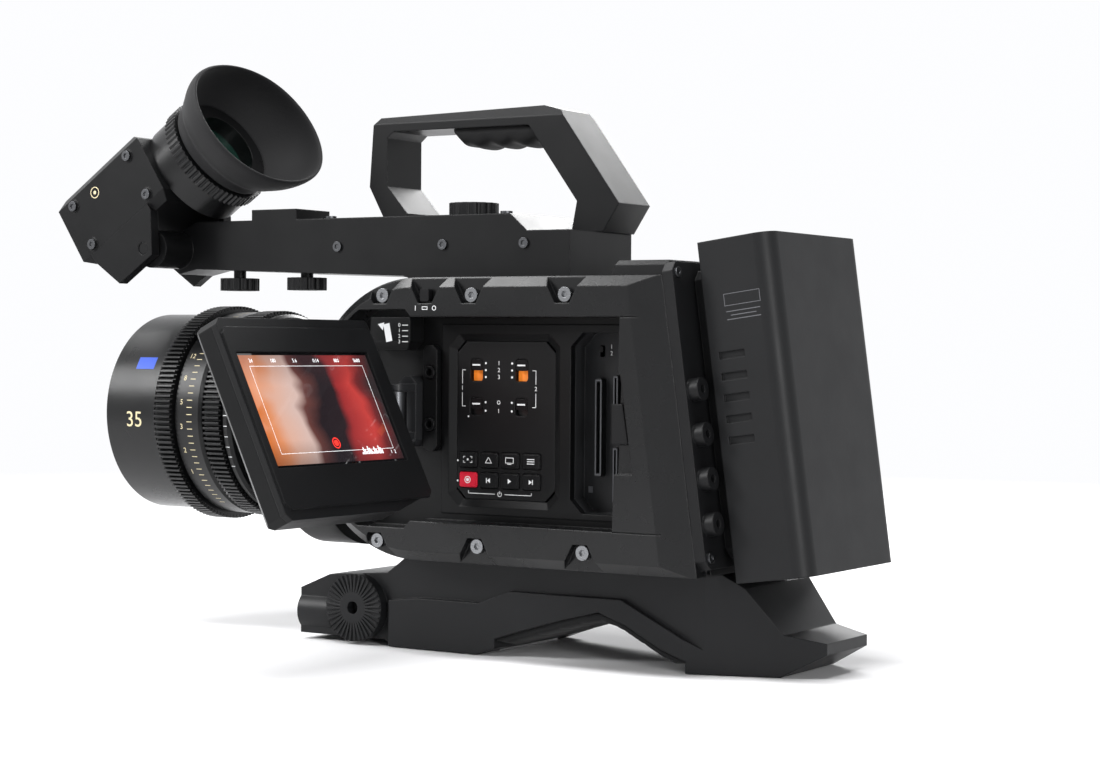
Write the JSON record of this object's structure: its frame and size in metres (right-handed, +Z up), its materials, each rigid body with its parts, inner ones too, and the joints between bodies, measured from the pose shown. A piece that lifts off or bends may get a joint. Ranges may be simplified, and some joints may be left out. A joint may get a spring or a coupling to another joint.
{
  "type": "digital cinema camera",
  "caption": "Shoulder-mount digital cinema camera with lens, fold-out monitor, viewfinder, top handle, battery and base.",
  "frame": {"origin": "mouth of the tripod thread in the underside of the base, on the plane the camera stands on", "axes": "-X towards the lens, +X towards the battery, -Y towards the operator's side with the monitor, +Z up"},
  "size_m": [0.4017, 0.2359, 0.2763],
  "materials": {
    "black_alloy": "fine satin black paint",
    "black_composite": "fine textured black",
    "panel_black": "matt black",
    "black_plastic": "fine textured black",
    "record_red": "satin red",
    "rubber_black": "matt",
    "lens_black": "satin anodised black",
    "glass_coated": "polished, coated",
    "screen_glass": "polished",
    "steel_dark": "blackened",
    "steel_bright": "brushed",
    "board_green": "solder mask"
  },
  "bodies": {
    "camera": {"chassis": "black_alloy", "top_cover": "black_alloy", "left_frame": "black_alloy", "right_frame": "black_alloy", "left_cover": "black_composite", "right_cover": "black_composite", "cover_screws": "steel_dark", "control_panel": "panel_black", "control_board": "board_green", "media_bay": "black_alloy", "hinge_block": "black_plastic", "monitor_bracket": "black_alloy", "nd_housing": "black_alloy", "lens_barrel": "lens_black", "lens_glass": "glass_coated", "image_sensor": "board_green", "main_board": "board_green", "handle_base": "black_alloy", "handle_frame": "black_alloy", "handle_grip": "rubber_black", "battery_plate": "black_plastic", "battery_case": "black_plastic", "base_shell": "black_composite", "shoulder_pad": "rubber_black", "tripod_plate": "steel_bright"},
    "key_focus": {"key_focus": "black_plastic"},
    "key_peak": {"key_peak": "black_plastic"},
    "key_display": {"key_display": "black_plastic"},
    "key_menu": {"key_menu": "black_plastic"},
    "key_record": {"key_record": "record_red"},
    "key_back": {"key_back": "black_plastic"},
    "key_play": {"key_play": "black_plastic"},
    "key_next": {"key_next": "black_plastic"},
    "source_switch_1": {"source_switch_1": "black_plastic"},
    "source_switch_2": {"source_switch_2": "black_plastic"},
    "feed_switch_1": {"feed_switch_1": "black_plastic"},
    "feed_switch_2": {"feed_switch_2": "black_plastic"},
    "power_switch": {"power_switch": "black_plastic"},
    "card_select_switch": {"card_select_switch": "black_plastic"},
    "latch_button": {"latch_button": "black_plastic"},
    "monitor_arm": {"monitor_arm": "steel_dark"},
    "nd_filter_wheel": {"nd_filter_wheel": "lens_black"},
    "lens_lock_ring": {"lens_lock_ring": "steel_dark"},
    "lens_focus_ring": {"lens_focus_ring": "lens_black"},
    "lens_iris_ring": {"lens_iris_ring": "lens_black"},
    "fan_rotor": {"fan_rotor": "black_plastic"},
    "diopter_ring": {"diopter_ring": "black_plastic"},
    "handle_knob": {"handle_knob": "black_plastic"},
    "bar_knob_front": {"bar_knob_front": "black_plastic"},
    "bar_knob_rear": {"bar_knob_rear": "black_plastic"},
    "battery_release": {"battery_release": "steel_dark"},
    "clamp_knob": {"clamp_knob": "black_plastic"},
    "monitor": {"monitor_case": "black_alloy", "monitor_bezel": "black_plastic", "monitor_panel": "screen_glass"},
    "viewfinder": {"viewfinder_case": "black_alloy", "viewfinder_barrel": "lens_black", "eyecup": "rubber_black", "viewfinder_lens": "glass_coated"}
  },
  "joints": [
    {"name": "key_focus_press", "type": "slide", "parent": "camera", "child": "key_focus", "axis": [0, 1, 0], "range_m": [0, 0.0007], "stiffness_N_per_m": 600},
    {"name": "key_peak_press", "type": "slide", "parent": "camera", "child": "key_peak", "axis": [0, 1, 0], "range_m": [0, 0.0007], "stiffness_N_per_m": 600},
    {"name": "key_display_press", "type": "slide", "parent": "camera", "child": "key_display", "axis": [0, 1, 0], "range_m": [0, 0.0007], "stiffness_N_per_m": 600},
    {"name": "key_menu_press", "type": "slide", "parent": "camera", "child": "key_menu", "axis": [0, 1, 0], "range_m": [0, 0.0007], "stiffness_N_per_m": 600},
    {"name": "key_record_press", "type": "slide", "parent": "camera", "child": "key_record", "axis": [0, 1, 0], "range_m": [0, 0.0007], "stiffness_N_per_m": 600},
    {"name": "key_back_press", "type": "slide", "parent": "camera", "child": "key_back", "axis": [0, 1, 0], "range_m": [0, 0.0007], "stiffness_N_per_m": 600},
    {"name": "key_play_press", "type": "slide", "parent": "camera", "child": "key_play", "axis": [0, 1, 0], "range_m": [0, 0.0007], "stiffness_N_per_m": 600},
    {"name": "key_next_press", "type": "slide", "parent": "camera", "child": "key_next", "axis": [0, 1, 0], "range_m": [0, 0.0007], "stiffness_N_per_m": 600},
    {"name": "source_switch_1_slide", "type": "slide", "parent": "camera", "child": "source_switch_1", "axis": [0, 0, -1], "range_m": [0, 0.0046]},
    {"name": "feed_switch_1_slide", "type": "slide", "parent": "camera", "child": "feed_switch_1", "axis": [0, 0, -1], "range_m": [0, 0.0023]},
    {"name": "source_switch_2_slide", "type": "slide", "parent": "camera", "child": "source_switch_2", "axis": [0, 0, -1], "range_m": [0, 0.0046]},
    {"name": "feed_switch_2_slide", "type": "slide", "parent": "camera", "child": "feed_switch_2", "axis": [0, 0, -1], "range_m": [0, 0.0023]},
    {"name": "power_switch_slide", "type": "slide", "parent": "camera", "child": "power_switch", "axis": [1, 0, 0], "range_m": [0, 0.002]},
    {"name": "card_select_slide", "type": "slide", "parent": "camera", "child": "card_select_switch", "axis": [0, 0, -1], "range_m": [0, 0.0016]},
    {"name": "latch_press", "type": "slide", "parent": "camera", "child": "latch_button", "axis": [0, 1, 0], "range_m": [0, 0.0015], "stiffness_N_per_m": 900},
    {"name": "monitor_swing", "type": "hinge", "parent": "camera", "child": "monitor_arm", "pos_m": [-0.008, -0.064, 0.1069], "axis": [0, 0, 1], "range_deg": [-30, 20]},
    {"name": "monitor_tilt", "type": "hinge", "parent": "monitor_arm", "child": "monitor", "pos_m": [-0.008, -0.0735, 0.1069], "axis": [0, 1, 0], "range_deg": [-150, 110]},
    {"name": "nd_select", "type": "hinge", "parent": "camera", "child": "nd_filter_wheel", "pos_m": [-0.068, -0.01602, 0.09062], "axis": [1, 0, 0], "range_deg": [0, 270]},
    {"name": "lens_lock", "type": "hinge", "parent": "camera", "child": "lens_lock_ring", "pos_m": [-0.094, 0, 0.1054], "axis": [1, 0, 0], "range_deg": [0, 60]},
    {"name": "focus_turn", "type": "hinge", "parent": "camera", "child": "lens_focus_ring", "pos_m": [-0.15, 0, 0.1054], "axis": [1, 0, 0], "range_deg": [-150, 150]},
    {"name": "iris_turn", "type": "hinge", "parent": "camera", "child": "lens_iris_ring", "pos_m": [-0.125, 0, 0.1054], "axis": [1, 0, 0], "range_deg": [-35, 35]},
    {"name": "fan_spin", "type": "hinge", "parent": "camera", "child": "fan_rotor", "pos_m": [0.047, 0.035, 0.1065], "axis": [0, 1, 0], "continuous": true},
    {"name": "viewfinder_tilt", "type": "hinge", "parent": "camera", "child": "viewfinder", "pos_m": [-0.158, -0.036, 0.18575], "axis": [0, -1, 0], "range_deg": [-3, 40]},
    {"name": "diopter_turn", "type": "hinge", "parent": "viewfinder", "child": "diopter_ring", "pos_m": [-0.13834, -0.036, 0.23242], "axis": [0.829, 0, 0.5592], "range_deg": [-60, 60]},
    {"name": "handle_knob_turn", "type": "hinge", "parent": "camera", "child": "handle_knob", "pos_m": [0.0035, -0.02, 0.2025], "axis": [0, 0, 1], "range_deg": [0, 360]},
    {"name": "front_bar_knob_turn", "type": "hinge", "parent": "camera", "child": "bar_knob_front", "pos_m": [-0.129, -0.0281, 0.1685], "axis": [0, 0, 1], "range_deg": [0, 360]},
    {"name": "rear_bar_knob_turn", "type": "hinge", "parent": "camera", "child": "bar_knob_rear", "pos_m": [-0.0875, -0.0281, 0.1685], "axis": [0, 0, 1], "range_deg": [0, 360]},
    {"name": "battery_release_press", "type": "slide", "parent": "camera", "child": "battery_release", "axis": [-0.9903, 0, -0.1392], "range_m": [0, 0.002], "stiffness_N_per_m": 900},
    {"name": "clamp_knob_turn", "type": "hinge", "parent": "camera", "child": "clamp_knob", "pos_m": [-0.074, 0.04, 0.013], "axis": [0, 1, 0], "range_deg": [0, 360]}
  ]
}
